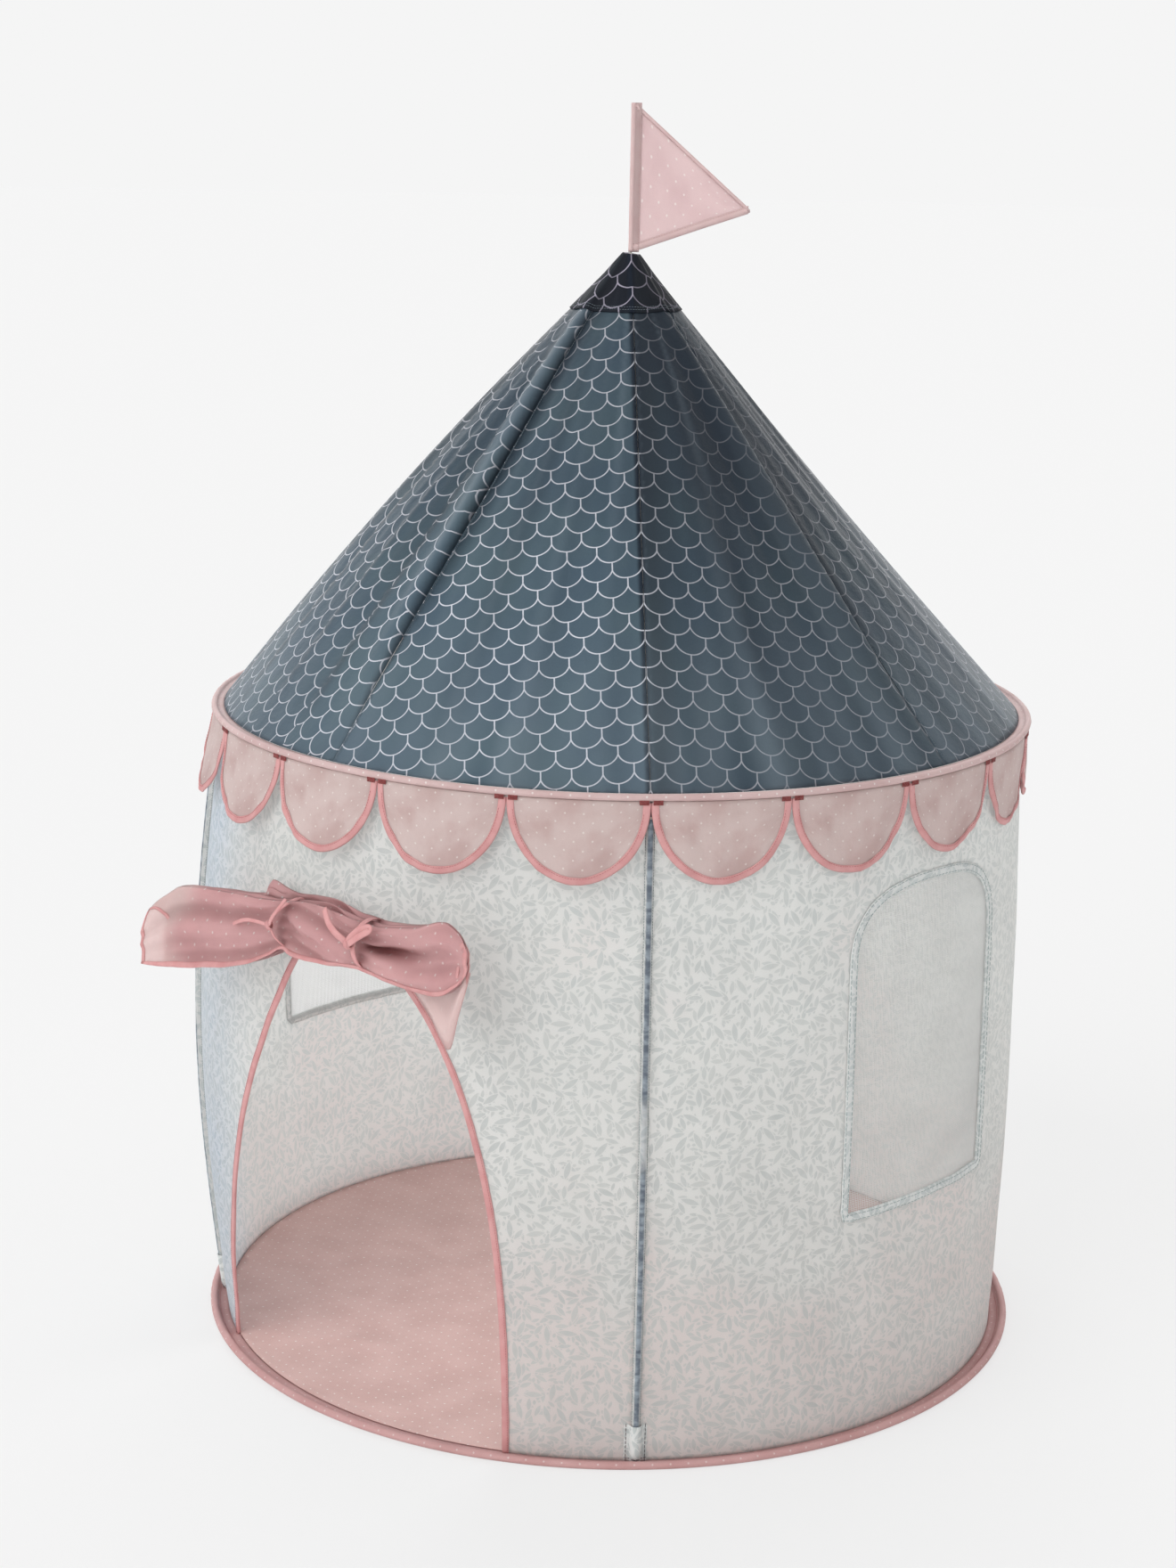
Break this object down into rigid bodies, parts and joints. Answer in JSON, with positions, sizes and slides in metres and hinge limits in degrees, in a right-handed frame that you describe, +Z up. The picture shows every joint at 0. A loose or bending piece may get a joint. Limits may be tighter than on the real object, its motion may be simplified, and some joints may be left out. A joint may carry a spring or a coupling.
{
  "type": "castle play tent",
  "caption": "Round castle play tent with a pointed roof, scalloped valance, tied-up door flap, net windows, hidden poles and hoops, and a pennant on the peak.",
  "frame": {"origin": "middle of the underside of the groundsheet, on the floor", "axes": "+Z up through the peak and the flag rod, -Y out through the doorway, +X to the right window as seen from inside looking along +Y"},
  "size_m": [1.0033, 1.0473, 1.4627],
  "materials": {
    "steel": "drawn spring wire and turned sockets",
    "fibreglass": "dark pultruded tube",
    "black_plastic": "moulded, matt",
    "wall_cloth": "thin woven polyester, off-white with a small grey-green print",
    "roof_cloth": "thin woven polyester, slate blue with a white scale pattern",
    "valance_cloth": "thin woven polyester, pale pink with white pin dots",
    "trim_cloth": "woven polyester, dusty pink with white pin dots",
    "binding": "folded rose tape",
    "floor_cloth": "coated polyester, dusty pink with white pin dots",
    "net": "white knitted net"
  },
  "bodies": {
    "tent": {"apex_hub": "black_plastic", "back_wall": "wall_cloth", "door_binding": "binding", "door_wall": "wall_cloth", "eave_elbow_back_left": "steel", "eave_elbow_back_right": "steel", "eave_elbow_front_left": "steel", "eave_elbow_front_right": "steel", "eave_hoop": "steel", "eave_hoop_channel": "trim_cloth", "eave_hoop_ferrule": "steel", "floor_hoop": "steel", "floor_hoop_channel": "trim_cloth", "floor_hoop_ferrule": "steel", "groundsheet": "floor_cloth", "left_window_binding": "wall_cloth", "left_window_net": "net", "left_window_wall": "wall_cloth", "peak_cap": "roof_cloth", "pole_foot_cap_back_left": "black_plastic", "pole_foot_cap_back_right": "black_plastic", "pole_foot_cap_front_left": "black_plastic", "pole_foot_cap_front_right": "black_plastic", "pole_pocket_back_left": "wall_cloth", "pole_pocket_back_right": "wall_cloth", "pole_pocket_front_left": "wall_cloth", "pole_pocket_front_right": "wall_cloth", "pole_sleeve_back_left": "wall_cloth", "pole_sleeve_back_right": "wall_cloth", "pole_sleeve_front_left": "wall_cloth", "pole_sleeve_front_right": "wall_cloth", "right_window_binding": "wall_cloth", "right_window_net": "net", "right_window_wall": "wall_cloth", "roof_gore_1": "roof_cloth", "roof_gore_2": "roof_cloth", "roof_gore_3": "roof_cloth", "roof_gore_4": "roof_cloth", "roof_gore_5": "roof_cloth", "roof_gore_6": "roof_cloth", "roof_gore_7": "roof_cloth", "roof_gore_8": "roof_cloth", "roof_pole_back_left": "fibreglass", "roof_pole_back_right": "fibreglass", "roof_pole_front_left": "fibreglass", "roof_pole_front_right": "fibreglass", "valance": "valance_cloth", "wall_pole_back_left": "fibreglass", "wall_pole_back_right": "fibreglass", "wall_pole_front_left": "fibreglass", "wall_pole_front_right": "fibreglass"},
    "door_flap": {"door_flap": "valance_cloth", "door_tie_left": "binding", "door_tie_right": "binding"},
    "flag": {"flag": "valance_cloth", "flag_rod": "fibreglass"}
  },
  "joints": [
    {"name": "door_flap_lift", "type": "hinge", "parent": "tent", "child": "door_flap", "pos_m": [0, -0.48702, 0.612], "axis": [-1, 0, 0], "range_deg": [0, 45]},
    {"name": "flag_swivel", "type": "hinge", "parent": "tent", "child": "flag", "pos_m": [0, 0, 1.3], "axis": [0, 0, 1], "continuous": true}
  ]
}
